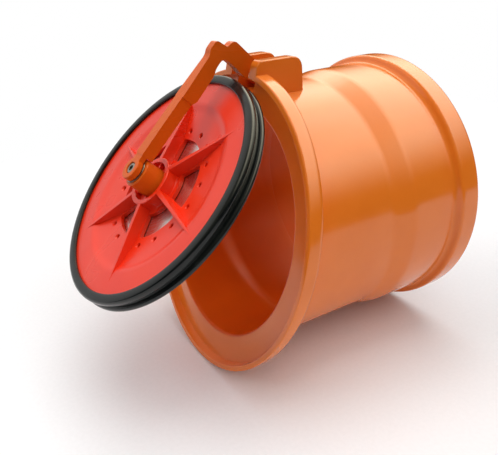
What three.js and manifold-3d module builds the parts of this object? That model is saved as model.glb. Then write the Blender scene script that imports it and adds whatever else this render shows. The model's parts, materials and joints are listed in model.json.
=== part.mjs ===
// End flap valve for a 160 mm drain pipe: a push-on body with a slanted mouth, and a flap
// that hangs from a gooseneck arm between two ears on top of the mouth.
// Millimetres. The pipe axis is Y, the mouth faces -Y, the hinge is on top (+Z).
// The flap is drawn swung open; its pieces are built in the flap's own frame, whose
// x runs along the hinge pin, y up the flap towards the hinge and z out of its front face.
import * as THREE from "three";
import { mergeVertices } from "three/addons/utils/BufferGeometryUtils.js";
import Module from "manifold-3d";

const wasm = await Module();
wasm.setup();

// ---------- driving sizes ----------
const GAP = 0.3;                      // free play left between pieces that meet
const PIPE_R = 80.0;                  // the drain pipe that is pushed into the socket
const AHEAD = -60;                    // well out in front of the mouth, where cuts start
const MOUTH_TILT = rad(14.2);         // the mouth plane leans back at the top
const OPEN_ANGLE = rad(31.0);         // how far the flap is drawn swung out from its seat

const rim = { outer: 95, inner: 91.7, thick: 9.8, seatDepth: 5.5 };
const bore = { seat: 74, tube: 76.6 };
const tube = { outer: 82, end: 77 };
const socket = { outer: 85.7, inner: PIPE_R + 0.4, start: 92, end: 124.5 };
const bead = { outer: 90.5, start: 127.6, end: 143.5, grooveR: 86.5, grooveFrom: 128.5, grooveTo: 138 };
const ear = { inner: 10, outer: 18.5, rear: 57.5, top: 101.3, foot: 78.4, corner: 8 };
const pivot = { y: 40.5, z: 88.5 };
const pin = { r: 3, tip: 15, headR: 4.6, headThick: 2.2 };
const knuckle = { r: 6, half: ear.inner - 0.4 };

// how finely each kind of round is cut into flats
const facets = { body: 64, flap: 56, small: 28, screw: 16, tiny: 8 };

// the flap, measured from the plane of its front lip: r across, n out of the front face
const seal = { lipIn: 72.2, frontR: 78.2, rearR: 79.1, rearFace: -10.4, webIn: 64 };
const plate = { edgeR: 74, rimFront: -2.2, rimBack: -5.0, rimIn: 56.5, stepR: 54, stepFront: -3.9 };
const dish = { r: 36, front: -6.6, back: -9.1 };
const shield = { r: 55.5, front: dish.back - GAP, thick: 1 };
const backing = { thick: 2.5, edgeR: 71.4, edgeFront: -7.6, flatR: 57, raisedR: 60.5 };
const hub = { outer: 16, inner: 13, top: 1.4, floor: -3.4, tabIn: 10 };
const rib = { count: 6, phase: 40.5, tipR: 64.5, thick: 2.8, rootSkin: 0.3, tipSkin: 0.8 };
const windowCut = { inner: 19, outer: 34.5, half: 24 };
const dimple = { count: 18, ringR: 39.8, r: 1.5 };
const boss = { r: 9.3, front: 11.5, bore: 2.8 };
const thrust = { outer: 7.6, thick: 0.6 };
const eye = { r: 7.2, front: 16.4, back: boss.front + thrust.thick + 2 * GAP, headR: 3.7, headDepth: 2.3 };
const screw = { r: 2.5, headR: 3.4, headThick: 1.9, keyR: 1.9, keyDeep: 1.2, tip: -20.5 };
const washer = { outer: 7, thick: 1.2 };
const nut = { acrossFlats: 8, thick: 4 };
const clampScrew = { r: 1, headR: 2.6, headThick: 1.6 };
const leg = { out: 16.7, inLow: 8.9, inHigh: 7.3, stepUp: 52, startUp: 9.6 };

const FLAP_TILT = MOUTH_TILT + OPEN_ANGLE;
const seatCentreY = rim.seatDepth / Math.cos(MOUTH_TILT);
const backFace = shield.front - shield.thick - GAP - backing.thick;
const betweenRibs = rib.phase + 180 / rib.count;

// ---------- materials ----------
const orange = () => material(0xd9702c, 0.34, 0);
const red = () => material(0xe2432c, 0.36, 0);
const rubber = () => material(0x1d2021, 0.42, 0);
const steel = () => material(0xb9bcbe, 0.28, 1);

// ---------- small helpers ----------
function rad(degrees) {
  return degrees * Math.PI / 180;
}

function material(colour, roughness, metalness) {
  return new THREE.MeshStandardMaterial({ color: colour, roughness, metalness });
}

function solid(geometry) {
  geometry.deleteAttribute("normal");
  geometry.deleteAttribute("uv");
  const merged = mergeVertices(geometry, 1e-4);
  return new wasm.Manifold(new wasm.Mesh({
    numProp: 3,
    vertProperties: new Float32Array(merged.attributes.position.array),
    triVerts: new Uint32Array(merged.index.array),
  }));
}

function toMesh(name, body, colour) {
  const data = body.getMesh();
  const geometry = new THREE.BufferGeometry();
  geometry.setAttribute("position", new THREE.BufferAttribute(data.vertProperties, 3));
  geometry.setIndex(new THREE.BufferAttribute(data.triVerts, 1));
  geometry.computeVertexNormals();
  const mesh = new THREE.Mesh(geometry, colour);
  mesh.name = name;
  return mesh;
}

// turn a closed outline of [radius, height] about Y; the outline may run either way round
function turned(outline, segments) {
  const points = outline.map(([r, h]) => new THREE.Vector2(r, h));
  const startsOnAxis = points[0].x === 0;
  if (THREE.ShapeUtils.area(points) < 0) points.reverse();
  if (!startsOnAxis) points.push(points[0].clone());
  return solid(new THREE.LatheGeometry(points, segments));
}

// the same, about Z
function turnedZ(outline, segments) {
  return turned(outline, segments).rotate([90, 0, 0]);
}

function disc(radius, low, high, segments) {
  return turnedZ([[0, low], [radius, low], [radius, high], [0, high]], segments);
}

function ring(inner, outer, low, high, segments) {
  return turnedZ([[inner, low], [outer, low], [outer, high], [inner, high]], segments);
}

// a cylinder along X
function rodX(radius, from, to, segments) {
  return disc(radius, from, to, segments).rotate([0, 90, 0]);
}

// extrude an outline of [a, b] corners by depth along the third axis
function prism(shape, from, to) {
  const settings = { depth: to - from, bevelEnabled: false, curveSegments: 6 };
  const geometry = new THREE.ExtrudeGeometry(shape, settings);
  geometry.translate(0, 0, from);
  return solid(geometry);
}

function outlineShape(corners) {
  return new THREE.Shape(corners.map(([a, b]) => new THREE.Vector2(a, b)));
}

// a side view drawn in the Y-Z plane, made thick along X
function sideSlab(shape, from, to) {
  return prism(shape, from, to).transform([0, 1, 0, 0, 0, 0, 1, 0, 1, 0, 0, 0, 0, 0, 0, 1]);
}

function box(x0, x1, y0, y1, z0, z1) {
  const geometry = new THREE.BoxGeometry(x1 - x0, y1 - y0, z1 - z0);
  geometry.translate((x0 + x1) / 2, (y0 + y1) / 2, (z0 + z1) / 2);
  return solid(geometry);
}

function repeated(count, phase, make) {
  const pieces = [];
  for (let i = 0; i < count; i += 1) {
    pieces.push(make(i).rotate([0, 0, -(phase + i * 360 / count)]));
  }
  return pieces;
}

// ---------- frames ----------
// everything that lies between two depths behind the slanted mouth plane
function mouthSlab(front, back) {
  const reach = rim.outer + 30;
  const slab = box(-reach, reach, front, back, -reach, reach);
  return slab.rotate([-THREE.MathUtils.radToDeg(MOUTH_TILT), 0, 0]);
}

// turn [y, z] about the hinge pin; a positive angle swings the flap open
function aboutPivot(y, z, angle) {
  const dy = y - pivot.y;
  const dz = z - pivot.z;
  const c = Math.cos(angle);
  const s = Math.sin(angle);
  return [pivot.y + dy * c + dz * s, pivot.z - dy * s + dz * c];
}

// centre of the front lip plane of the open flap, from its place when shut on the seat
function flapOrigin() {
  const ahead = -seal.rearFace + GAP;
  const shutY = seatCentreY - ahead * Math.cos(MOUTH_TILT);
  const shutZ = ahead * Math.sin(MOUTH_TILT);
  return aboutPivot(shutY, shutZ, OPEN_ANGLE);
}

const [flapY, flapZ] = flapOrigin();
const upY = Math.sin(FLAP_TILT);
const upZ = Math.cos(FLAP_TILT);

function placeOnFlap(body) {
  return body.transform([1, 0, 0, 0, 0, upY, upZ, 0, 0, -upZ, upY, 0, 0, flapY, flapZ, 1]);
}

// part-frame [y, z] of a spot on the flap's middle plane: up the flap, out of its face
function flapPoint(up, out) {
  return [flapY + up * upY - out * upZ, flapZ + up * upZ + out * upY];
}

// ---------- housing ----------
function bodyShell() {
  const outside = turned([
    [0, AHEAD], [tube.outer, AHEAD], [tube.outer, tube.end],
    [socket.outer, socket.start], [socket.outer, socket.end],
    [socket.outer + 1.6, socket.end + 1.1],
    [bead.outer - 0.8, bead.start - 0.4], [bead.outer, bead.start + 0.8],
    [bead.outer, bead.end - 3.4], [bead.outer - 0.8, bead.end - 1.2],
    [bead.outer - 2.6, bead.end], [0, bead.end],
  ], facets.body);
  const behindMouth = mouthSlab(0, 2 * bead.end);
  const flange = turned([[0, AHEAD], [rim.outer, AHEAD], [rim.outer, tube.end], [0, tube.end]], facets.body)
    .intersect(mouthSlab(0, rim.thick));
  return outside.intersect(behindMouth).add(flange);
}

function bodyHollow() {
  const waterway = turned([
    [0, AHEAD], [bore.seat, AHEAD], [bore.seat, 32], [bore.tube, 40], [bore.tube, socket.start - 4],
    [bore.tube + 0.4, socket.start], [socket.inner, socket.start], [socket.inner, bead.grooveFrom - 3],
    [bead.grooveR, bead.grooveFrom], [bead.grooveR, bead.grooveTo], [socket.inner + 0.8, bead.grooveTo + 1],
    [socket.inner + 0.8, bead.end - 2.2], [socket.inner + 2.6, bead.end + 0.2], [0, bead.end + 0.2],
  ], facets.body);
  const recess = turned([[0, AHEAD], [rim.inner, AHEAD], [rim.inner, tube.end], [0, tube.end]], facets.body)
    .intersect(mouthSlab(AHEAD, rim.seatDepth));
  const armSlot = box(-ear.inner, ear.inner, AHEAD, ear.rear, tube.outer, 2 * ear.top);
  return waterway.add(recess).add(armSlot);
}

// one hinge ear, its front edge flush with the slanted mouth
function earPlate(from, to) {
  const shape = new THREE.Shape();
  const lean = Math.tan(MOUTH_TILT);
  shape.moveTo(ear.foot * lean, ear.foot);
  shape.lineTo(ear.rear, ear.foot);
  shape.lineTo(ear.rear, ear.top - ear.corner);
  shape.absarc(ear.rear - ear.corner, ear.top - ear.corner, ear.corner, 0, Math.PI / 2, false);
  shape.lineTo(ear.top * lean + 2, ear.top);
  shape.lineTo((ear.top - 2) * lean, ear.top - 2);
  return sideSlab(shape, from, to);
}

function valveBody() {
  const pinBore = rodX(pin.r + GAP, -ear.outer - 1, pin.tip + GAP, facets.small)
    .translate([0, pivot.y, pivot.z]);
  return bodyShell()
    .add(earPlate(-ear.outer, -ear.inner))
    .add(earPlate(ear.inner, ear.outer))
    .subtract(bodyHollow())
    .subtract(pinBore);
}

function hingePin() {
  const headFrom = -ear.outer - GAP - pin.headThick;
  const shank = rodX(pin.r, headFrom + 0.5, pin.tip, facets.small);
  const head = rodX(pin.headR, headFrom, headFrom + pin.headThick, facets.small);
  return shank.add(head).translate([0, pivot.y, pivot.z]);
}

// rubber lip ring that sits in the socket's bead and grips the pushed-in pipe
function socketSeal() {
  const from = bead.grooveFrom + GAP;
  const to = bead.grooveTo - GAP;
  const out = bead.grooveR - GAP;
  const lip = PIPE_R - 1.6;
  return turned([
    [out, from + 0.3], [out, to - 0.2], [out - 0.9, to], [socket.inner + 2.2, to - 0.2],
    [lip + 1.6, to - 2.4], [lip, to - 6.6], [lip + 0.9, to - 7.4],
    [lip + 2.6, to - 5.6], [out - 2.6, to - 3.4], [out - 2.2, from + 0.6],
  ], facets.body);
}

// ---------- arm ----------
// side view of the gooseneck: a leg along the flap, an elbow with two humps and a
// notch between them, and a root that drops back to the hinge pin
function armSide() {
  const rootLow = aboutPivot(pivot.y, pivot.z - knuckle.r, OPEN_ANGLE);
  const rootRise = aboutPivot(pivot.y - 16.6, pivot.z - knuckle.r, OPEN_ANGLE);
  const shape = new THREE.Shape();
  shape.moveTo(...flapPoint(leg.startUp, leg.out));
  shape.lineTo(...flapPoint(leg.startUp, leg.inLow));
  shape.lineTo(...flapPoint(leg.stepUp - 1.6, leg.inLow));
  shape.lineTo(...flapPoint(leg.stepUp + 1.6, leg.inHigh));
  shape.lineTo(...flapPoint(72, leg.inHigh));
  shape.lineTo(...flapPoint(76.4, 8.7));
  shape.lineTo(...flapPoint(79.4, 8.7));
  shape.quadraticCurveTo(...flapPoint(84.8, 8.2), ...flapPoint(85, 0.5));
  shape.lineTo(...flapPoint(84.6, -4));
  shape.lineTo(...rootRise);
  shape.lineTo(...rootLow);
  shape.lineTo(pivot.y, pivot.z);
  shape.lineTo(pivot.y + 3, pivot.z + 5.2);
  shape.lineTo(...flapPoint(96.9, -7.4));
  shape.lineTo(...flapPoint(96.6, 5.6));
  shape.quadraticCurveTo(...flapPoint(96.6, 9.2), ...flapPoint(94.4, 9.7));
  shape.lineTo(...flapPoint(91.4, 10.4));
  shape.quadraticCurveTo(...flapPoint(90.4, 10.8), ...flapPoint(90.2, 12));
  shape.lineTo(...flapPoint(89.4, 16.8));
  shape.quadraticCurveTo(...flapPoint(89, 18.4), ...flapPoint(87, 18.5));
  shape.lineTo(...flapPoint(84.2, 18.5));
  shape.quadraticCurveTo(...flapPoint(81.6, 18.2), ...flapPoint(79, leg.out));
  return sideSlab(shape, -knuckle.half, knuckle.half);
}

// view square to the flap: half widths along the arm, thin at the elbow
function armPlan() {
  const widths = [
    [-8, 4.4], [leg.stepUp - 2, 4.4], [leg.stepUp - 2, 4.95], [leg.stepUp + 4, 4.9], [84, 3.1], [110, 3.1],
  ];
  const right = widths.map(([up, half]) => [half, up]);
  const left = [...widths].reverse().map(([up, half]) => [-half, up]);
  return placeOnFlap(prism(outlineShape([...right, ...left]), -40, 40));
}

function flapArm() {
  const eyePlate = disc(eye.r, eye.back, eye.front, facets.small);
  const neck = box(-4.4, 4.4, 2, leg.startUp + 2, eye.back, eye.front);
  const bossClearance = disc(boss.r + 0.4, -30, eye.back, facets.small);
  const screwHole = disc(screw.r + GAP, -30, 30, facets.screw);
  const headHole = disc(eye.headR, eye.front - eye.headDepth, 30, facets.small);
  const barrel = rodX(knuckle.r, -knuckle.half, knuckle.half, facets.small)
    .translate([0, pivot.y, pivot.z]);
  const pinHole = rodX(pin.r + GAP, -30, 30, facets.small).translate([0, pivot.y, pivot.z]);
  return armSide().intersect(armPlan())
    .add(placeOnFlap(eyePlate.add(neck)))
    .subtract(placeOnFlap(bossClearance.add(screwHole).add(headHole)))
    .add(barrel)
    .subtract(pinHole);
}

function swivelBoss() {
  return placeOnFlap(turnedZ([
    [boss.bore, hub.floor + GAP], [boss.r, hub.floor + GAP], [boss.r, boss.front - 0.8],
    [boss.r - 0.8, boss.front], [boss.bore, boss.front],
  ], facets.small));
}

// thin steel washer that lets the boss turn under the arm's eye
function thrustWasher() {
  const low = boss.front + GAP;
  return placeOnFlap(ring(screw.r + GAP, thrust.outer, low, low + thrust.thick, facets.small));
}

function centreScrew() {
  const seatLevel = eye.front - eye.headDepth + GAP;
  const headTop = seatLevel + screw.headThick;
  const head = turnedZ([
    [0, seatLevel], [screw.headR, seatLevel], [screw.headR, headTop - 0.5],
    [screw.headR - 0.5, headTop], [0, headTop],
  ], facets.screw);
  const shank = disc(screw.r, screw.tip, seatLevel + 0.5, facets.screw);
  const keyHole = disc(screw.keyR, headTop - screw.keyDeep, headTop + 1, 6);
  return placeOnFlap(head.add(shank).subtract(keyHole));
}

function rearWasher() {
  const high = backFace - GAP;
  return placeOnFlap(ring(screw.r + GAP, washer.outer, high - washer.thick, high, facets.small));
}

function lockNut() {
  const high = backFace - 2 * GAP - washer.thick;
  const cornerR = nut.acrossFlats / 2 / Math.cos(Math.PI / 6);
  const hole = disc(screw.r + GAP, high - nut.thick - 1, high + 1, facets.screw);
  const hex = disc(cornerR, high - nut.thick, high, 6);
  return placeOnFlap(hex.subtract(hole));
}

// ---------- flap ----------
// the foot of each rib is sunk in the dish, down to a skin above the dish's back
function ribBlade() {
  const side = outlineShape([
    [hub.inner + 1, dish.back + rib.rootSkin], [rib.tipR, plate.rimBack + rib.tipSkin],
    [rib.tipR, plate.rimFront], [hub.inner + 1, hub.top - 0.2],
  ]);
  return sideSlab(side, -rib.thick / 2, rib.thick / 2);
}

function hubTab() {
  return box(-0.8, 0.8, hub.tabIn, hub.inner + 1, hub.floor - 0.5, hub.top - 2);
}

function windowHole() {
  const shape = new THREE.Shape();
  const from = Math.PI / 2 - rad(windowCut.half);
  const to = Math.PI / 2 + rad(windowCut.half);
  shape.absarc(0, 0, windowCut.outer, from, to, false);
  shape.absarc(0, 0, windowCut.inner, to, from, true);
  return prism(shape, dish.back - 1, dish.front + 1);
}

function flapDisc() {
  const face = turnedZ([
    [0, dish.back], [plate.stepR, dish.back], [plate.rimIn + 2.5, plate.rimBack],
    [plate.edgeR, plate.rimBack], [plate.edgeR, plate.rimFront], [plate.rimIn, plate.rimFront],
    [plate.stepR, plate.stepFront], [dish.r, dish.front], [0, dish.front],
  ], facets.flap);
  const cup = disc(hub.outer, dish.back, hub.top, facets.small);
  const cupHollow = disc(hub.inner, hub.floor, hub.top + 1, facets.small);
  let body = face.add(cup);
  for (const blade of repeated(rib.count, rib.phase, ribBlade)) body = body.add(blade);
  body = body.subtract(cupHollow);
  for (const tab of repeated(rib.count, rib.phase, hubTab)) body = body.add(tab);
  for (const hole of repeated(rib.count, betweenRibs, windowHole)) body = body.subtract(hole);
  const small = () => disc(dimple.r, -20, 5, facets.tiny).translate([0, dimple.ringR, 0]);
  for (const hole of repeated(dimple.count, betweenRibs, small)) body = body.subtract(hole);
  return placeOnFlap(body.subtract(disc(screw.r + GAP, -30, 10, facets.screw)));
}

function clampHoles(low, high) {
  const hole = () => disc(clampScrew.r + GAP, low, high, facets.tiny).translate([0, dimple.ringR, 0]);
  return repeated(rib.count, betweenRibs, hole);
}

function shieldPlate() {
  const low = shield.front - shield.thick;
  let body = ring(screw.r + GAP, shield.r, low, shield.front, facets.flap);
  for (const hole of clampHoles(low - 1, shield.front + 1)) body = body.subtract(hole);
  return placeOnFlap(body);
}

function sealRing() {
  return placeOnFlap(turnedZ([
    [seal.webIn, plate.rimBack - GAP], [plate.edgeR + GAP, plate.rimBack - GAP],
    [plate.edgeR + GAP, plate.rimFront + GAP], [seal.lipIn, plate.rimFront + GAP],
    [seal.lipIn, -0.5], [seal.lipIn + 0.6, 0], [seal.frontR - 1, 0], [seal.frontR, -0.9],
    [seal.frontR, -5.6], [seal.frontR - 1.3, -6], [seal.frontR - 1.3, -6.8], [seal.rearR - 0.6, -7.2],
    [seal.rearR, -8], [seal.rearR, seal.rearFace + 0.5], [seal.rearR - 0.6, seal.rearFace],
    [seal.rearR - 2.4, seal.rearFace], [backing.edgeR + GAP + 0.6, backing.edgeFront - 1],
    [backing.edgeR + GAP, backing.edgeFront + GAP], [seal.webIn, backing.edgeFront + GAP],
  ], facets.flap));
}

function backPlate() {
  const innerFront = backFace + backing.thick;
  let body = turnedZ([
    [screw.r + GAP, backFace], [backing.flatR, backFace],
    [backing.raisedR, backing.edgeFront - backing.thick],
    [backing.edgeR, backing.edgeFront - backing.thick], [backing.edgeR, backing.edgeFront],
    [backing.raisedR, backing.edgeFront], [backing.flatR, innerFront], [screw.r + GAP, innerFront],
  ], facets.flap);
  for (const hole of clampHoles(backFace - 1, innerFront + 1)) body = body.subtract(hole);
  return placeOnFlap(body);
}

function clampScrews() {
  const high = backFace - GAP;
  const make = () => {
    const head = turnedZ([
      [0, high - clampScrew.headThick], [clampScrew.headR - 0.8, high - clampScrew.headThick],
      [clampScrew.headR, high - 0.8], [clampScrew.headR, high], [0, high],
    ], facets.screw);
    const shank = disc(clampScrew.r, high - 0.5, dish.front - 0.8, facets.tiny);
    return head.add(shank).translate([0, dimple.ringR, 0]);
  };
  return repeated(rib.count, betweenRibs, make).map(placeOnFlap);
}

// ---------- the assembly ----------
// the group's origin is the centre of the socket's end face, where the pipe goes in
const valve = new THREE.Group();
valve.name = "end_flap_valve";
valve.position.y = -bead.end;
valve.add(toMesh("valve_body", valveBody(), orange()));
valve.add(toMesh("hinge_pin", hingePin(), steel()));
valve.add(toMesh("socket_seal", socketSeal(), rubber()));
valve.add(toMesh("flap_arm", flapArm(), orange()));
valve.add(toMesh("swivel_boss", swivelBoss(), orange()));
valve.add(toMesh("centre_screw", centreScrew(), steel()));
valve.add(toMesh("thrust_washer", thrustWasher(), steel()));
valve.add(toMesh("rear_washer", rearWasher(), steel()));
valve.add(toMesh("lock_nut", lockNut(), steel()));
valve.add(toMesh("flap_disc", flapDisc(), red()));
valve.add(toMesh("shield_plate", shieldPlate(), steel()));
valve.add(toMesh("seal_ring", sealRing(), rubber()));
valve.add(toMesh("back_plate", backPlate(), red()));
clampScrews().forEach((body, i) => valve.add(toMesh(`clamp_screw_${i + 1}`, body, steel())));

export default valve;
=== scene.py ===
"""Looks for the end flap valve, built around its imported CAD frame.

Every piece is drawn in millimetres in one of two local frames and placed by a matrix:
the pipe frame (x along the hinge pin, y up, z out of the mouth along the pipe axis) and
the flap frame (x along the hinge pin, y up the flap to the hinge, z out of its front).
"""

import json
import math

import bmesh
import bpy
from mathutils import Matrix, Vector


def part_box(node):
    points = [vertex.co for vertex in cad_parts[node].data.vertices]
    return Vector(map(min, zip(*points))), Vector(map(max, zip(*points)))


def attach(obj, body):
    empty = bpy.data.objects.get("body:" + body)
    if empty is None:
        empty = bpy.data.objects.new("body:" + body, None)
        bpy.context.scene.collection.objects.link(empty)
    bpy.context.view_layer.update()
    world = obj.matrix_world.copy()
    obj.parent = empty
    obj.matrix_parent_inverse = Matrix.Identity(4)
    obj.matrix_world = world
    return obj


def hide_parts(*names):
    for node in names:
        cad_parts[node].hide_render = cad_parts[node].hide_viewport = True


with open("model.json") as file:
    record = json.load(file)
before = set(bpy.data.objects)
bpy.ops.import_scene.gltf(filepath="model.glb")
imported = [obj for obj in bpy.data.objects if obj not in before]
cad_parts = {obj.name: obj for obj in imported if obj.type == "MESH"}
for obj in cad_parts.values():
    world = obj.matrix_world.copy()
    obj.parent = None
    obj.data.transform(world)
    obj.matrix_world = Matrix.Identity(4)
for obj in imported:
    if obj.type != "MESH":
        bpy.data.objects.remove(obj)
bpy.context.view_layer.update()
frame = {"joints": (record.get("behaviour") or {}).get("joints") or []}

MM = 0.001
ACROSS = Vector((1, 0, 0))

# ---------- places, from the frame ----------
joints = {joint["name"]: joint for joint in frame["joints"]}
HINGE = Vector(joints["flap_hinge"]["pos_m"])
OPEN = -math.radians(joints["flap_hinge"]["range_deg"][0])
FLAP_CENTRE = Vector(joints["flap_swivel"]["pos_m"])
FLAP_OUT = Vector(joints["flap_swivel"]["axis"]).normalized()
FLAP_TILT = math.atan2(FLAP_OUT.z, -FLAP_OUT.y)
MOUTH_TILT = FLAP_TILT - OPEN
BODY_LOW, BODY_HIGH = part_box("valve_body")
RIM_R = BODY_HIGH.x / MM
MOUTH_SLOPE = math.tan(MOUTH_TILT)
BODY_LENGTH = -BODY_LOW.y / MM - RIM_R * MOUTH_SLOPE


def local_frame(origin, out):
    """Matrix from a local frame's millimetres to the CAD frame's metres."""
    up = out.cross(ACROSS)
    turn = Matrix((ACROSS, up, out)).transposed().to_4x4()
    return Matrix.Translation(origin) @ turn @ Matrix.Scale(MM, 4)


PIPE = local_frame(Vector((0, 0, 0)), Vector((0, -1, 0)))
FLAP = local_frame(FLAP_CENTRE, FLAP_OUT)
PIN_PIPE = PIPE.inverted() @ HINGE
PIN_FLAP = FLAP.inverted() @ HINGE


# ---------- outlines ----------
def rounded(corners, steps=4):
    """Turn corners (a, b, ..., rounding) into points, with an arc cut that far from each corner."""
    points = []
    count = len(corners)
    for i, corner in enumerate(corners):
        here = Vector(corner[:-1])
        before = Vector(corners[i - 1][:-1])
        after = Vector(corners[(i + 1) % count][:-1])
        cut = corner[-1]
        if cut == 0:
            points.append(here)
            continue
        start = here + (before - here) * min(0.49, cut / (before - here).length)
        end = here + (after - here) * min(0.49, cut / (after - here).length)
        for step in range(steps + 1):
            t = step / steps
            points.append(start * (1 - t) ** 2 + here * 2 * t * (1 - t) + end * t * t)
    return points


# ---------- meshes ----------
def outward(bm):
    """Make every face of one closed mesh point out."""
    bmesh.ops.recalc_face_normals(bm, faces=bm.faces)
    if bm.calc_volume(signed=True) < 0:
        bmesh.ops.reverse_faces(bm, faces=bm.faces)
    return bm


def revolved(corners, segments=128, steps=4, closed=True):
    """A lathe about local z. Corners are (radius, height, rounding) or, where a ring leans with
    the mouth, (radius, height, lean, rounding), with lean from 0 (square) to 1 (mouth plane)."""
    bm = bmesh.new()
    rings = []
    for point in rounded(corners, steps):
        slope = point[2] * MOUTH_SLOPE if len(point) > 2 else 0
        if point[0] < 1e-6:
            rings.append([bm.verts.new((0, 0, point[1]))])
            continue
        ring = []
        for i in range(segments):
            angle = 2 * math.pi * i / segments
            x = point[0] * math.sin(angle)
            y = point[0] * math.cos(angle)
            ring.append(bm.verts.new((x, y, point[1] - y * slope)))
        rings.append(ring)
    pairs = list(zip(rings, rings[1:]))
    if closed:
        pairs.append((rings[-1], rings[0]))
    for low, high in pairs:
        if len(low) == 1 and len(high) == 1:
            continue
        for i in range(segments):
            j = (i + 1) % segments
            quad = [low[i % len(low)], low[j % len(low)], high[j % len(high)], high[i % len(high)]]
            bm.faces.new(list(dict.fromkeys(quad)))
    return outward(bm)


def cylinder(radius, low, high, segments, lean=0):
    """A plain solid cylinder about local z; with lean 1 both its ends lie parallel to the mouth plane."""
    return revolved([(0.0, low, lean, 0), (radius, low, lean, 0), (radius, high, lean, 0),
                     (0.0, high, lean, 0)], segments, closed=False)


def flat_ring(inner, outer, low, high, inner_edge, outer_edge):
    """A ring of square section about local z, with its edges rounded."""
    return revolved([(inner, low, inner_edge), (outer, low, outer_edge), (outer, high, outer_edge),
                     (inner, high, inner_edge)], 64)


def prism(outline, low, high):
    """Outline points in local x-y, made solid from z = low to z = high."""
    bm = bmesh.new()
    bottom = [bm.verts.new((p[0], p[1], low)) for p in outline]
    top = [bm.verts.new((p[0], p[1], high)) for p in outline]
    bm.faces.new(bottom)
    bm.faces.new(top)
    for i in range(len(outline)):
        j = (i + 1) % len(outline)
        bm.faces.new((bottom[i], bottom[j], top[j], top[i]))
    return outward(bm)


def block(x0, x1, y0, y1, z0, z1):
    return prism([(x0, y0), (x1, y0), (x1, y1), (x0, y1)], z0, z1)


def moved(bm, matrix):
    bm.transform(matrix)
    return outward(bm)


def on_edge(bm, side=1):
    """A prism whose outline was drawn in y-z, turned so that its thickness runs along x or, with
    side -1, the other way."""
    return moved(bm, Matrix(((0, 0, side, 0), (1, 0, 0, 0), (0, 1, 0, 0), (0, 0, 0, 1))))


def joined(pieces):
    """Several meshes as one, without cutting them together."""
    out = bmesh.new()
    scratch = bpy.data.meshes.new("scratch")
    for piece in pieces:
        piece.to_mesh(scratch)
        piece.free()
        out.from_mesh(scratch)
    bpy.data.meshes.remove(scratch)
    return out


def to_object(bm, name):
    mesh = bpy.data.meshes.new(name)
    bm.to_mesh(mesh)
    bm.free()
    obj = bpy.data.objects.new(name, mesh)
    bpy.context.scene.collection.objects.link(obj)
    return obj


def combined(base, tool, operation):
    """Exact union, difference or intersection of two closed meshes."""
    a = to_object(base, "base")
    b = to_object(tool, "tool")
    cut = a.modifiers.new("cut", "BOOLEAN")
    cut.operation = operation
    cut.object = b
    cut.solver = "EXACT"
    result = a.evaluated_get(bpy.context.evaluated_depsgraph_get()).to_mesh()
    out = bmesh.new()
    out.from_mesh(result)
    for scrap in (a, b):
        mesh = scrap.data
        bpy.data.objects.remove(scrap)
        bpy.data.meshes.remove(mesh)
    bmesh.ops.remove_doubles(out, verts=out.verts, dist=1e-4)
    return out


def soften(bm, width, limit=35, segments=2):
    """Round every edge that turns more sharply than the limit."""
    bmesh.ops.dissolve_limit(bm, angle_limit=math.radians(0.5), verts=bm.verts, edges=bm.edges)
    sharp = [e for e in bm.edges if len(e.link_faces) == 2 and e.calc_face_angle() > math.radians(limit)]
    bmesh.ops.bevel(
        bm, geom=sharp, offset=width, offset_type="OFFSET", segments=segments,
        profile=0.5, affect="EDGES", clamp_overlap=True, loop_slide=True,
    )
    return bm


def spun(make, count, phase):
    """Copies of a mesh set round local z, clockwise from up as seen from outside."""
    pieces = []
    for i in range(count):
        turn = Matrix.Rotation(-math.radians(phase + i * 360 / count), 4, "Z")
        pieces.append(moved(make(), turn))
    return pieces


def add_piece(name, bm, place, material, body, nodes):
    """Place a finished mesh in the frame, shade it and let it ride and stand for its CAD nodes."""
    bm.transform(place)
    for face in bm.faces:
        face.smooth = True
    for edge in bm.edges:
        edge.smooth = len(edge.link_faces) == 2 and edge.calc_face_angle() < math.radians(32)
    obj = to_object(bm, name)
    obj.data.materials.append(material)
    shading = obj.modifiers.new("even shading", "WEIGHTED_NORMAL")
    shading.keep_sharp = True
    shading.weight = 60
    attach(obj, body)
    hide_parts(*nodes)
    return obj


# ---------- materials ----------
# places of a Mix node's colour sockets, which share their names with its number sockets
MIX_A, MIX_B, MIX_COLOUR = 6, 7, 2


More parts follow.
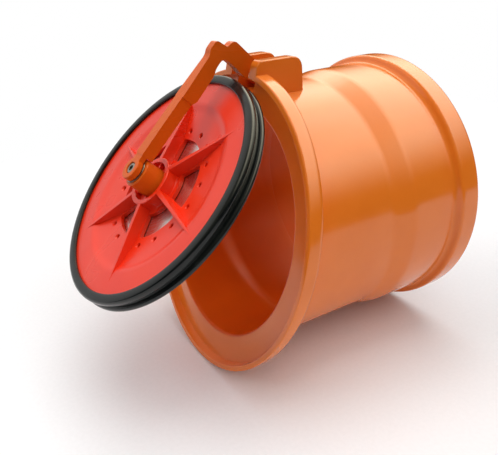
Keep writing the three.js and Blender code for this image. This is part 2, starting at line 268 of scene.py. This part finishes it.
class Nodes:
    """Short names for building one material's node tree."""

    def __init__(self, name):
        self.material = bpy.data.materials.new(name)
        self.material.use_nodes = True
        self.tree = self.material.node_tree
        self.shader = self.tree.nodes["Principled BSDF"]
        self.place = self.add("ShaderNodeTexCoord").outputs["Object"]

    def add(self, kind, **values):
        node = self.tree.nodes.new(kind)
        for key, value in values.items():
            setattr(node, key, value)
        return node

    def link(self, source, target):
        self.tree.links.new(source, target)

    def noise(self, scale, detail=3, stretch=None):
        node = self.add("ShaderNodeTexNoise")
        node.inputs["Scale"].default_value = scale
        node.inputs["Detail"].default_value = detail
        source = self.place
        if stretch:
            mapping = self.add("ShaderNodeMapping")
            mapping.inputs["Scale"].default_value = stretch
            self.link(self.place, mapping.inputs["Vector"])
            source = mapping.outputs["Vector"]
        self.link(source, node.inputs["Vector"])
        return node.outputs["Fac"]

    def ramp(self, source, low, high, start=0.35, end=0.65):
        node = self.add("ShaderNodeMapRange")
        node.inputs["From Min"].default_value = start
        node.inputs["From Max"].default_value = end
        node.inputs["To Min"].default_value = low
        node.inputs["To Max"].default_value = high
        self.link(source, node.inputs["Value"])
        return node.outputs["Result"]

    def mix(self, factor, a, b):
        node = self.add("ShaderNodeMix", data_type="RGBA")
        for socket, value in ((node.inputs[MIX_A], a), (node.inputs[MIX_B], b)):
            if isinstance(value, tuple):
                socket.default_value = (*value, 1)
            else:
                self.link(value, socket)
        self.link(factor, node.inputs["Factor"])
        return node.outputs[MIX_COLOUR]

    def bump(self, height, strength, distance, after=None):
        node = self.add("ShaderNodeBump")
        node.inputs["Strength"].default_value = strength
        node.inputs["Distance"].default_value = distance
        self.link(height, node.inputs["Height"])
        if after:
            self.link(after, node.inputs["Normal"])
        return node.outputs["Normal"]

    def set(self, **values):
        for key, value in values.items():
            self.shader.inputs[key.replace("_", " ")].default_value = value


def moulded_plastic(name, pale, deep, gloss, shine):
    """Smooth moulded plastic: faint cloudy pigment, small changes of gloss, a fine skin texture."""
    m = Nodes(name)
    cloud = m.ramp(m.noise(scale=22, detail=4), low=0, high=1)
    flow = m.ramp(m.noise(scale=60, detail=2, stretch=(1, 0.15, 1)), low=0, high=1)
    colour = m.mix(cloud, deep, pale)
    speck = m.ramp(m.noise(scale=2600, detail=1), low=1, high=0, start=0.69, end=0.74)
    speck_colour = tuple(c * 0.72 for c in deep)
    tinted = m.mix(speck, speck_colour, (1, 1, 1))
    blend = m.add("ShaderNodeMix", data_type="RGBA", blend_type="MULTIPLY")
    blend.inputs["Factor"].default_value = 0.25
    m.link(colour, blend.inputs[MIX_A])
    m.link(tinted, blend.inputs[MIX_B])
    m.set(Specular_IOR_Level=shine)
    m.link(blend.outputs[MIX_COLOUR], m.shader.inputs["Base Color"])
    roughness = m.ramp(flow, low=gloss - 0.03, high=gloss + 0.05, start=0, end=1)
    m.link(roughness, m.shader.inputs["Roughness"])
    waves = m.bump(m.noise(scale=30, detail=1), strength=0.03, distance=0.0006)
    skin = m.bump(m.noise(scale=1500, detail=2), strength=0.05, distance=0.0001, after=waves)
    m.link(skin, m.shader.inputs["Normal"])
    return m.material


def moulded_rubber(name):
    """Black rubber with a slightly shiny moulded skin and faint pale bloom."""
    m = Nodes(name)
    m.set(Specular_IOR_Level=0.33)
    black, bloom_colour = (0.004, 0.005, 0.005), (0.010, 0.012, 0.011)
    bloom = m.ramp(m.noise(scale=55, detail=5), low=0, high=1, start=0.4, end=0.75)
    m.link(m.mix(bloom, black, bloom_colour), m.shader.inputs["Base Color"])
    m.link(m.ramp(m.noise(scale=130, detail=3), low=0.14, high=0.24), m.shader.inputs["Roughness"])
    skin = m.bump(m.noise(scale=900, detail=3), strength=0.08, distance=0.0001)
    m.link(skin, m.shader.inputs["Normal"])
    return m.material


def turned_steel(name, centre, out, shade, roughness):
    """Stainless steel with fine marks that run round the given axis."""
    m = Nodes(name)
    m.set(Metallic=1.0)
    shift = m.add("ShaderNodeVectorMath", operation="SUBTRACT")
    shift.inputs[1].default_value = centre
    m.link(m.place, shift.inputs[0])
    across = m.add("ShaderNodeVectorMath", operation="CROSS_PRODUCT")
    across.inputs[1].default_value = out
    m.link(shift.outputs["Vector"], across.inputs[0])
    radius = m.add("ShaderNodeVectorMath", operation="LENGTH")
    m.link(across.outputs["Vector"], radius.inputs[0])
    marks = m.add("ShaderNodeTexNoise", noise_dimensions="1D")
    marks.inputs["Scale"].default_value = 4200
    marks.inputs["Detail"].default_value = 3
    m.link(radius.outputs["Value"], marks.inputs["W"])
    cloud = m.ramp(m.noise(scale=70, detail=4), low=0, high=1)
    dull = tuple(c * 0.84 for c in shade)
    m.link(m.mix(cloud, dull, shade), m.shader.inputs["Base Color"])
    uneven = m.ramp(marks.outputs["Fac"], low=roughness - 0.05, high=roughness + 0.1)
    m.link(uneven, m.shader.inputs["Roughness"])
    fine_marks = m.bump(marks.outputs["Fac"], strength=0.03, distance=0.00005)
    m.link(fine_marks, m.shader.inputs["Normal"])
    return m.material


ORANGE = moulded_plastic(
    "orange_plastic", pale=(0.82, 0.195, 0.018), deep=(0.77, 0.172, 0.013), gloss=0.16, shine=0.5)
# a darker, more saturated copy of the orange plastic for the inside of the bore: its colour is painted
# shade, its lower gloss dims reflections there
BORE_SHADE_ORANGE = moulded_plastic(
    "bore_painted_shade_plastic", pale=(0.74, 0.118, 0.005), deep=(0.69, 0.102, 0.004), gloss=0.32, shine=0.12)
DEEP_ORANGE = moulded_plastic(
    "deep_orange_plastic", pale=(0.72, 0.118, 0.007), deep=(0.67, 0.104, 0.005), gloss=0.26, shine=0.2)
RED = moulded_plastic(
    "red_plastic", pale=(0.82, 0.032, 0.005), deep=(0.78, 0.024, 0.004), gloss=0.30, shine=0.64)
RUBBER = moulded_rubber("black_rubber")
PLATE_STEEL = turned_steel(
    "plate_steel", FLAP_CENTRE, FLAP_OUT, shade=(0.74, 0.73, 0.72), roughness=0.22)
# a darker copy of the stainless steel for the centre screw and the front washer: painted shade for the
# shadowed hole of the arm's eye and the gap under it
SHADED_SCREW_STEEL = turned_steel(
    "screw_steel_painted_shade", FLAP_CENTRE, FLAP_OUT, shade=(0.34, 0.32, 0.29), roughness=0.32)
PIN_STEEL = turned_steel("pin_steel", HINGE, ACROSS, shade=(0.60, 0.58, 0.55), roughness=0.25)

# ---------- valve body, in the pipe frame ----------
# heights run from 0 at the socket's open end to MOUTH, where the slanted mouth crosses the axis
MOUTH = BODY_LENGTH
SLANT = 1 / math.cos(MOUTH_TILT)
RIM_FOOT = MOUTH - 9.8 * SLANT
SEAT = MOUTH - 5.5 * SLANT
SEAT_R = 74.0
RECESS_R = 91.7
TUBE_R = 82.0
BORE_R = 76.6
TUBE_END = MOUTH - 77
SOCKET_START = MOUTH - 92
SOCKET_R = 85.7
SOCKET_BORE = 80.4
BEAD_START = MOUTH - 127
BEAD_R = 90.5
GROOVE_R = 86.5
GROOVE_LIP_R = 81.2
EAR_TOP = BODY_HIGH.z / MM
EAR_FOOT = 79.0
EAR_IN = 10.0
EAR_OUT = 18.5
EAR_REAR = MOUTH - 57.5
PIN_R = 3.0
PIN_TIP = 15.0
PLAY = 0.3
BODY_FACETS = 192


def body_outline():
    """Corners from the mouth's lip, over the outside to the socket's end, and back inside."""
    return [
        (RIM_R, MOUTH, 1, 0.9),
        (RIM_R, RIM_FOOT, 1, 3.2),
        (TUBE_R, RIM_FOOT, 1, 1.4),
        (TUBE_R, TUBE_END, 0, 2.5),
        (SOCKET_R, SOCKET_START, 0, 2.5),
        (SOCKET_R, BEAD_START + 0.7, 0, 2.6),
        (BEAD_R, BEAD_START - 1.2, 0, 2.0),
        (BEAD_R, 0, 0, 2.6),
        (GROOVE_LIP_R + 1.8, 0, 0, 0.8),
        (GROOVE_LIP_R, 2.4, 0, 0.6),
        (GROOVE_LIP_R, 4.6, 0, 0.4),
        (GROOVE_R, 5.5, 0, 0.5),
        (GROOVE_R, 15, 0, 1.0),
        (SOCKET_BORE, 18, 0, 0.8),
        (SOCKET_BORE, SOCKET_START, 0, 0.6),
        (BORE_R + 0.4, SOCKET_START, 0, 0.6),
        (BORE_R, SOCKET_START + 4, 0, 1.0),
        (BORE_R, MOUTH - 40, 0, 4.0),
        (SEAT_R, MOUTH - 32, 0, 3.0),
        (SEAT_R, SEAT, 1, 1.4),
        (RECESS_R, SEAT, 1, 1.2),
        (RECESS_R, MOUTH, 1, 0.5),
    ]


def ear(side):
    """One hinge ear, front edge flush with the slanted mouth; drawn in y-z, made thick along x."""
    corners = [
        (EAR_FOOT, MOUTH - EAR_FOOT * MOUTH_SLOPE, 0),
        (EAR_FOOT, EAR_REAR, 0),
        (EAR_TOP, EAR_REAR, 8.5),
        (EAR_TOP, MOUTH - EAR_TOP * MOUTH_SLOPE - 1.5, 1.0),
        (EAR_TOP - 2.5, MOUTH - (EAR_TOP - 2.5) * MOUTH_SLOPE, 1.2),
    ]
    outline = [(p[0], p[1]) for p in rounded(corners, 8)]
    slab = soften(prism(outline, EAR_IN, EAR_OUT), width=0.9, limit=50, segments=3)
    return on_edge(slab, side)


def darken_bore(body):
    """The faces that look inward, from the mouth to the socket's end, take a darker, less glossy copy of
    the orange plastic: painted shade for the dim inside of the bore.
    """
    body.data.materials.append(BORE_SHADE_ORANGE)
    for face in body.data.polygons:
        radius = math.hypot(face.center.x, face.center.z)
        outward_share = (face.normal.x * face.center.x + face.normal.z * face.center.z) / radius
        if radius < (SOCKET_BORE + 0.5) * MM and outward_share < -0.1:
            face.material_index = 1


def along_pin(pin):
    """Matrix that lays a lathe's axis along the hinge pin, which passes through the given point."""
    return Matrix.Translation((0, pin.y, pin.z)) @ Matrix.Rotation(math.pi / 2, 4, "Y")


def build_body():
    """Shell, less the slot for the arm's root, plus two ears, less the flap's recess and the pin's bore."""
    far = 40
    shell = revolved(body_outline(), BODY_FACETS)
    slot = block(-EAR_IN, EAR_IN, TUBE_R, EAR_TOP + far, EAR_REAR, MOUTH + far)
    shell = combined(shell, slot, "DIFFERENCE")
    for side in (-1, 1):
        shell = combined(shell, ear(side), "UNION")
    clear_seat = SEAT + 0.02
    recess = cylinder(RECESS_R, clear_seat, MOUTH + far, BODY_FACETS, lean=1)
    shell = combined(shell, recess, "DIFFERENCE")
    bore = cylinder(PIN_R + PLAY, -EAR_OUT - 2, PIN_TIP + PLAY, 32)
    shell = combined(shell, moved(bore, along_pin(PIN_PIPE)), "DIFFERENCE")
    body = add_piece("body_shell", shell, PIPE, ORANGE, "housing", ["valve_body"])
    darken_bore(body)


def build_pin():
    """Headed pin, pushed in from the far ear; its tip stays inside the near ear."""
    head_end = -EAR_OUT - 2.5
    head_foot = head_end + 2.2
    head_r = 4.6
    corners = [
        (0.0, head_end, 0), (head_r, head_end, 0.7), (head_r, head_foot, 0.4), (PIN_R, head_foot, 0.2),
        (PIN_R, PIN_TIP, 0.6), (0.0, PIN_TIP, 0),
    ]
    pin = moved(revolved(corners, 48, closed=False), along_pin(PIN_PIPE))
    add_piece("pin_shaft", pin, PIPE, PIN_STEEL, "housing", ["hinge_pin"])


def build_socket_seal():
    corners = [
        (86.2, 5.8, 0.3), (82.6, 6.0, 0.5), (80.0, 8.2, 0.8), (78.4, 12.4, 0.5), (79.3, 13.2, 0.3),
        (81.0, 11.4, 0.5), (83.6, 9.2, 0.6), (84.0, 14.1, 0.4), (86.2, 14.4, 0.3),
    ]
    ring = revolved(corners, 160)
    add_piece("socket_ring", ring, PIPE, RUBBER, "housing", ["socket_seal"])


# ---------- arm, in the flap frame ----------
# heights are measured from the plane of the flap's front lip, out of its front
ARM_OUT = 16.7
ARM_IN_LOW = 8.9
ARM_IN_HIGH = 7.3
ARM_START = 9.6
EYE_R = 7.2
EYE_BACK = 12.7
EYE_FRONT = 16.4
BOSS_R = 9.3
BOSS_FRONT = 11.5
BOSS_BACK = -3.1
ROOT_R = 6.0
ROOT_HALF = EAR_IN - 0.4
SCREW_R = 2.5
SCREW_HOLE_R = SCREW_R + PLAY
SCREW_SEAT = EYE_FRONT - 2.0
SCREW_HEAD_R = 3.4
SCREW_TIP = -20.5


def arm_side():
    """Side outline of the arm in the flap frame, as (up, out) points."""
    level = Vector((-math.sin(MOUTH_TILT), math.cos(MOUTH_TILT)))
    down = Vector((-math.cos(MOUTH_TILT), -math.sin(MOUTH_TILT)))
    pin = Vector((PIN_FLAP.y, PIN_FLAP.z))
    root_low = pin + down * ROOT_R
    root_rise = root_low + level * 16.6
    corners = [
        (ARM_START, ARM_OUT, 0), (ARM_START, ARM_IN_LOW, 0), (50.4, ARM_IN_LOW, 0.5),
        (53.6, ARM_IN_HIGH, 0.5), (72.0, ARM_IN_HIGH, 2.0),
        (76.4, 8.7, 1.5), (84.2, 8.7, 6.0), (85.2, 0.0, 4.0), (root_rise.x, root_rise.y, 3.0),
        (root_low.x, root_low.y, 0), (pin.x, pin.y, 0), (pin.x + 3.5, pin.y + 4.5, 0),
        (96.9, -7.4, 4.0), (96.7, 9.4, 3.0), (90.7, 10.4, 1.4), (89.2, 18.5, 2.2), (82.6, 18.5, 2.0),
        (79.6, ARM_OUT, 2.5),
    ]
    return [(p[0], p[1]) for p in rounded(corners, 6)]


def arm_plan():
    """Half widths of the arm along its length, as seen square to the flap."""
    halves = [(-8, 4.4), (50, 4.4), (50.4, 4.95), (56, 4.9), (84, 3.1), (110, 3.1)]
    right = [(half, up) for up, half in halves]
    left = [(-half, up) for up, half in reversed(halves)]
    return right + left


def arm_eye():
    """Ring at the arm's lower end, with a countersunk hole for the centre screw."""
    recess = SCREW_SEAT - PLAY
    return revolved([
        (EYE_R, EYE_BACK, 0.3), (EYE_R, EYE_FRONT, 0.6), (SCREW_HEAD_R + 0.5, EYE_FRONT, 0.3),
        (SCREW_HEAD_R + 0.2, recess, 0.2), (SCREW_HOLE_R, recess, 0.1), (SCREW_HOLE_R, EYE_BACK, 0.2),
    ], 64)


def build_arm():
    """Side outline and plan outline crossed, cut clear of the boss, with the eye and the pin's barrel."""
    side = on_edge(prism(arm_side(), -ROOT_HALF, ROOT_HALF))
    leg = combined(side, prism(arm_plan(), -40, 40), "INTERSECT")
    leg = combined(leg, cylinder(BOSS_R + 0.4, -30, EYE_BACK, 64), "DIFFERENCE")
    leg = soften(leg, width=0.4, limit=30)
    neck = block(-4.2, 4.2, 3.5, 11, EYE_BACK, EYE_FRONT - 0.05)
    neck = soften(neck, width=0.3, limit=40)
    barrel = flat_ring(PIN_R + PLAY, ROOT_R, -ROOT_HALF, ROOT_HALF, 0.3, 0.5)
    arm = joined([leg, neck, arm_eye(), moved(barrel, along_pin(PIN_FLAP))])
    add_piece("arm_moulding", arm, FLAP, DEEP_ORANGE, "arm", ["flap_arm"])


def build_boss():
    corners = [
        (SCREW_HOLE_R, BOSS_BACK, 0.2), (BOSS_R, BOSS_BACK, 0.5),
        (BOSS_R, BOSS_FRONT, 0.8), (SCREW_HOLE_R, BOSS_FRONT, 0.3),
    ]
    boss = revolved(corners, 96)
    add_piece("boss_sleeve", boss, FLAP, DEEP_ORANGE, "arm", ["swivel_boss"])


def hexagon(corner_r):
    return [(corner_r * math.cos(i * math.pi / 3), corner_r * math.sin(i * math.pi / 3)) for i in range(6)]


def build_centre_screw():
    """Cap screw with a hexagon key hole, sunk in the arm's eye."""
    head_top = SCREW_SEAT + 1.5
    corners = [
        (0.0, SCREW_TIP, 0), (SCREW_R - 0.5, SCREW_TIP, 0), (SCREW_R, SCREW_TIP + 0.5, 0),
        (SCREW_R, SCREW_SEAT, 0.1), (SCREW_HEAD_R, SCREW_SEAT, 0.3),
        (SCREW_HEAD_R, head_top, 0.5), (0.0, head_top, 0),
    ]
    screw = revolved(corners, 48, closed=False)
    key_hole = prism(hexagon(2.0), SCREW_SEAT + 0.3, head_top + 2.5)
    screw = combined(screw, key_hole, "DIFFERENCE")
    # the screw takes the darkened steel: painted shade in the eye's hole
    add_piece("screw_body", screw, FLAP, SHADED_SCREW_STEEL, "arm", ["centre_screw"])


def build_washers():
    low = BOSS_FRONT + PLAY
    front = flat_ring(SCREW_HOLE_R, 7.6, low, low + 0.6, 0.15, 0.15)
    # the front washer takes the darkened steel: painted shade in the gap between eye and boss
    add_piece("washer_front", front, FLAP, SHADED_SCREW_STEEL, "arm", ["thrust_washer"])
    rear = flat_ring(SCREW_HOLE_R, 7.0, REAR_WASHER_BACK, BACK_FACE - PLAY, 0.2, 0.2)
    add_piece("washer_rear", rear, FLAP, PLATE_STEEL, "arm", ["rear_washer"])


def build_nut():
    """Hexagon nut with the corners turned off both faces."""
    corner_r = 4 / math.cos(math.pi / 6)
    turned_r = corner_r - 0.5
    over_r = corner_r + 0.3
    hole_r = SCREW_R + 0.1
    high = REAR_WASHER_BACK - PLAY
    low = high - 4
    turned = revolved([
        (hole_r, low, 0), (turned_r, low, 0), (over_r, low + 0.6, 0),
        (over_r, high - 0.6, 0), (turned_r, high, 0), (hole_r, high, 0),
    ], 48)
    nut = combined(turned, prism(hexagon(corner_r), low - 1, high + 1), "INTERSECT")
    add_piece("nut_hex", nut, FLAP, PLATE_STEEL, "arm", ["lock_nut"])


# ---------- flap, in the flap frame ----------
RIB_COUNT = 6
RIB_PHASE = 40.5
BETWEEN_RIBS = RIB_PHASE + 180 / RIB_COUNT
RIB_TIP_R = 64.5
HOLE_COUNT = 18
HOLE_RING = 39.8
HOLE_R = 1.4
WINDOW_IN = 19.0
WINDOW_OUT = 34.5
WINDOW_HALF = 24
FLOOR = -6.6
FLOOR_R = 36.0
UNDERSIDE = -9.1
RIM_FRONT = -2.2
RIM_BACK = -5.0
DISC_R = 74.0
HUB_TOP = 1.4
HUB_R = 16.0
CUP_R = 13.0
CUP_FLOOR = -3.4
BACK_FACE = -13.2
BACK_INNER = BACK_FACE + 2.5
REAR_WASHER_BACK = BACK_FACE - 1.5
CLAMP_R = 1.0
CLAMP_HEAD_R = 2.6


def rib():
    """A wedge that thins and drops from the hub to its tip, its foot sunk in the dish all along."""
    root = (CUP_R + 1.2, UNDERSIDE + 0.3, HUB_TOP - 0.1, 1.9, 1.5)
    tip = (RIB_TIP_R, RIM_BACK + 0.8, RIM_FRONT + 0.05, 1.1, 0.7)
    bm = bmesh.new()
    sections = []
    for up, foot, top, half_foot, half_top in (root, tip):
        section = [(-half_foot, up, foot), (-half_top, up, top), (half_top, up, top), (half_foot, up, foot)]
        sections.append([bm.verts.new(p) for p in section])
    near, far = sections
    bm.faces.new(near)
    bm.faces.new(far)
    for i in range(4):
        j = (i + 1) % 4
        bm.faces.new((near[i], near[j], far[j], far[i]))
    return soften(outward(bm), width=0.35, limit=30)


def window():
    """An opening between two ribs, bounded by two arcs, with rounded corners."""
    steps = 12
    arc = [math.radians(WINDOW_HALF * (2 * i / steps - 1)) for i in range(steps + 1)]
    corners = []
    for radius, angles in ((WINDOW_OUT, arc), (WINDOW_IN, arc[::-1])):
        for angle in angles:
            rounding = 1.5 if angle in (arc[0], arc[-1]) else 0
            corners.append((radius * math.sin(angle), radius * math.cos(angle), rounding))
    return prism(rounded(corners), UNDERSIDE - 2, FLOOR + 2)


def hole():
    """A small hole through the disc, with a countersunk mouth."""
    level = FLOOR + 0.6
    below, above = -20, 5
    mouth_r = HOLE_R + 0.7
    corners = [
        (0.0, below, 0), (HOLE_R, below, 0), (HOLE_R, level - 0.7, 0),
        (mouth_r, level + 0.1, 0), (mouth_r, above, 0), (0.0, above, 0),
    ]
    return moved(revolved(corners, 20, closed=False), Matrix.Translation((0, HOLE_RING, 0)))


def tab():
    """A thin web that joins the hub's ring to its floor, at the foot of a rib."""
    web = block(-0.8, 0.8, 10, CUP_R + 0.6, CUP_FLOOR - 0.6, HUB_TOP - 2)
    return soften(web, width=0.2, limit=40)


def build_disc():
    """Shallow conical dish with a flat rim and a cupped hub, its windows and holes, ribs and tabs."""
    dish = revolved([
        (SCREW_HOLE_R, UNDERSIDE, 0), (54.0, UNDERSIDE, 1.5), (59.0, RIM_BACK, 1.5),
        (DISC_R, RIM_BACK, 0.4), (DISC_R, RIM_FRONT, 0.4), (57.5, RIM_FRONT, 2.0), (53.5, -3.9, 2.0),
        (FLOOR_R, FLOOR, 0), (HUB_R, FLOOR, 0.9), (HUB_R, HUB_TOP, 0.6),
        (CUP_R, HUB_TOP, 0.6), (CUP_R, CUP_FLOOR, 0.8), (SCREW_HOLE_R, CUP_FLOOR, 0.3),
    ], 144)
    cutters = joined(spun(window, RIB_COUNT, BETWEEN_RIBS) + spun(hole, HOLE_COUNT, BETWEEN_RIBS))
    dish = combined(dish, cutters, "DIFFERENCE")
    disc = joined([dish] + spun(rib, RIB_COUNT, RIB_PHASE) + spun(tab, RIB_COUNT, RIB_PHASE))
    add_piece("disc_face", disc, FLAP, RED, "flap", ["flap_disc"])


def build_shield():
    """A thin round sheet just behind the disc; it shows through the windows."""
    front = UNDERSIDE - PLAY
    back = front - 1
    plate = revolved([
        (SCREW_HOLE_R, back, 0.1), (55.5, back, 0.2), (55.5, front, 0.2), (SCREW_HOLE_R, front, 0.1),
    ], 128)
    add_piece("shield_sheet", plate, FLAP, PLATE_STEEL, "flap", ["shield_plate"])


def build_seal():
    """Two lips with a groove between them; two fine ridges run along the groove."""
    corners = [
        (64.0, -7.3, 0.2), (64.0, -5.3, 0.2), (74.3, -5.3, 0.2), (74.3, -1.9, 0.2), (72.2, -1.9, 0.2),
        (72.2, 0.0, 2.2), (78.2, 0.0, 2.8), (78.4, -3.9, 0.8), (76.6, -4.7, 0.4), (77.0, -5.3, 0.3),
        (76.4, -5.8, 0.3), (77.0, -6.3, 0.3), (76.6, -6.9, 0.4), (79.1, -7.6, 1.3), (79.1, -10.4, 1.3),
        (76.2, -10.4, 0.5), (72.2, -8.6, 0.4), (71.7, -7.3, 0.2),
    ]
    add_piece("seal_lips", revolved(corners, 176), FLAP, RUBBER, "flap", ["seal_ring"])


def clamp_hole():
    return moved(cylinder(CLAMP_R + PLAY, -20, 0, 24), Matrix.Translation((0, HOLE_RING, 0)))


def build_back_plate():
    """Flat plate with a raised edge that holds the seal's web against the disc."""
    edge_r = 71.4
    edge_back, edge_front = -10.1, -7.6
    plate = revolved([
        (SCREW_HOLE_R, BACK_FACE, 0.3), (57.0, BACK_FACE, 1.2), (60.5, edge_back, 1.2),
        (edge_r, edge_back, 0.5), (edge_r, edge_front, 0.5), (60.5, edge_front, 0.8),
        (57.0, BACK_INNER, 0.8), (SCREW_HOLE_R, BACK_INNER, 0.3),
    ], 128)
    plate = combined(plate, joined(spun(clamp_hole, RIB_COUNT, BETWEEN_RIBS)), "DIFFERENCE")
    add_piece("plate_back", plate, FLAP, RED, "flap", ["back_plate"])


def clamp_screw():
    """Small round-headed screw with a cross recess, head behind the back plate."""
    high = BACK_FACE - PLAY
    tip = FLOOR - 0.9
    corners = [
        (0.0, high - 1.7, 0), (1.9, high - 1.5, 0.7), (CLAMP_HEAD_R, high - 0.6, 0.4),
        (CLAMP_HEAD_R, high, 0.1), (CLAMP_R, high, 0), (CLAMP_R, tip, 0.1), (0.0, tip, 0),
    ]
    screw = revolved(corners, 32, closed=False)
    cross = combined(block(-1.5, 1.5, -0.3, 0.3, high - 3, high - 0.9),
                     block(-0.3, 0.3, -1.5, 1.5, high - 3, high - 0.9), "UNION")
    screw = combined(screw, cross, "DIFFERENCE")
    return moved(screw, Matrix.Translation((0, HOLE_RING, 0)))


def build_clamp_screws():
    for i, screw in enumerate(spun(clamp_screw, RIB_COUNT, BETWEEN_RIBS), start=1):
        add_piece(f"back_screw_{i}", screw, FLAP, PLATE_STEEL, "flap", [f"clamp_screw_{i}"])


# ---------- floor, light, camera ----------
def build_floor():
    """A wide pale floor just under the mouth's rim."""
    floor = bpy.data.objects.new("floor", bpy.data.meshes.new("floor"))
    bm = bmesh.new()
    bmesh.ops.create_grid(bm, x_segments=1, y_segments=1, size=0.6)
    bm.to_mesh(floor.data)
    bm.free()
    floor.location = (0, 0, BODY_LOW.z - 0.001)
    m = Nodes("pale_floor")
    speckle = m.ramp(m.noise(scale=400, detail=2), low=0, high=1)
    m.link(m.mix(speckle, (0.87, 0.87, 0.87), (0.89, 0.89, 0.89)), m.shader.inputs["Base Color"])
    m.set(Roughness=1.0, Specular_IOR_Level=0.0)
    floor.data.materials.append(m.material)
    bpy.context.scene.collection.objects.link(floor)


def soft_sun(name, towards, angle, strength, fills=True, shines=True):
    """A wide, soft light from the given direction. It fills (lights matt surfaces), shines
    (shows in glossy ones) or does both."""
    light = bpy.data.lights.new(name, "SUN")
    light.angle = math.radians(angle)
    light.energy = strength
    obj = bpy.data.objects.new(name, light)
    obj.rotation_euler = Vector(towards).to_track_quat("Z", "Y").to_euler()
    obj.visible_diffuse = fills
    obj.visible_glossy = shines
    bpy.context.scene.collection.objects.link(obj)


def build_lights():
    soft_sun("high_fill", (-0.10, 0.10, 0.95), angle=50, strength=1.5, shines=False)
    soft_sun("right_fill", (0.62, 0.05, 0.78), angle=60, strength=1.25, shines=False)
    soft_sun("left_fill", (-0.45, -0.60, 0.66), angle=45, strength=1.0, shines=False)
    soft_sun("left_sheen", (-0.78, -0.34, 0.52), angle=100, strength=1.4, fills=False)


def build_world():
    """White to the camera, a dim dome for matt light, and for reflections a warm glow that
    grows smoothly from the horizon upward and from the front to the rear."""
    world = bpy.data.worlds.new("studio")
    world.use_nodes = True
    tree = world.node_tree
    background = tree.nodes["Background"]

    def eased(source, start, end, low, high):
        node = tree.nodes.new("ShaderNodeMapRange")
        node.interpolation_type = "SMOOTHSTEP"
        node.inputs["From Min"].default_value = start
        node.inputs["From Max"].default_value = end
        node.inputs["To Min"].default_value = low
        node.inputs["To Max"].default_value = high
        tree.links.new(source, node.inputs["Value"])
        return node.outputs["Result"]

    def chosen(ray, otherwise, then):
        node = tree.nodes.new("ShaderNodeMix")
        tree.links.new(ray, node.inputs["Factor"])
        tree.links.new(otherwise, node.inputs["A"])
        if isinstance(then, float):
            node.inputs["B"].default_value = then
        else:
            tree.links.new(then, node.inputs["B"])
        return node.outputs["Result"]

    place = tree.nodes.new("ShaderNodeTexCoord")
    split = tree.nodes.new("ShaderNodeSeparateXYZ")
    rays = tree.nodes.new("ShaderNodeLightPath")
    tree.links.new(place.outputs["Generated"], split.inputs["Vector"])
    dome = eased(split.outputs["Z"], start=0.15, end=0.75, low=0.02, high=0.24)
    glow_up = eased(split.outputs["Z"], start=0.12, end=0.74, low=0.01, high=5.8)
    glow_rear = eased(split.outputs["Y"], start=0.02, end=0.58, low=0.06, high=1.0)
    glow = tree.nodes.new("ShaderNodeMath")
    glow.operation = "MULTIPLY"
    tree.links.new(glow_up, glow.inputs[0])
    tree.links.new(glow_rear, glow.inputs[1])
    lit = chosen(rays.outputs["Is Glossy Ray"], dome, glow.outputs["Value"])
    tree.links.new(chosen(rays.outputs["Is Camera Ray"], lit, 1.0), background.inputs["Strength"])
    tint = tree.nodes.new("ShaderNodeMix")
    tint.data_type = "RGBA"
    tint.inputs[MIX_A].default_value = (1, 1, 1, 1)
    tint.inputs[MIX_B].default_value = (1, 0.94, 0.72, 1)
    tree.links.new(rays.outputs["Is Glossy Ray"], tint.inputs["Factor"])
    tree.links.new(tint.outputs[MIX_COLOUR], background.inputs["Color"])
    bpy.context.scene.world = world
    bpy.context.scene.view_settings.view_transform = "Standard"


def build_camera():
    """Looks at the valve from its right, in front and above, tipped a little to one side."""
    azimuth, elevation, roll = math.radians(59.89), math.radians(24.25), math.radians(-3.65)
    distance, right_shift, up_shift = 0.3791, -0.02014, 0.00377
    back = Vector((
        math.sin(azimuth) * math.cos(elevation),
        -math.cos(azimuth) * math.cos(elevation),
        math.sin(elevation),
    ))
    level = Vector((0, 0, 1)).cross(back).normalized()
    upright = back.cross(level)
    right = level * math.cos(roll) + upright * math.sin(roll)
    up = upright * math.cos(roll) - level * math.sin(roll)
    mouth = Vector((0, -BODY_LENGTH * MM, 0))
    camera = bpy.data.objects.new("camera", bpy.data.cameras.new("camera"))
    turn = Matrix((right, up, back)).transposed().to_4x4()
    eye = mouth - right * right_shift - up * up_shift + back * distance
    camera.matrix_world = Matrix.Translation(eye) @ turn
    camera.data.sensor_width = 36
    camera.data.lens = 41.57
    camera.data.clip_start = 0.01
    bpy.context.scene.collection.objects.link(camera)
    bpy.context.scene.camera = camera


build_camera()
build_body()
build_pin()
build_socket_seal()
build_arm()
build_boss()
build_centre_screw()
build_washers()
build_nut()
build_disc()
build_shield()
build_seal()
build_back_plate()
build_clamp_screws()
build_floor()
build_lights()
build_world()
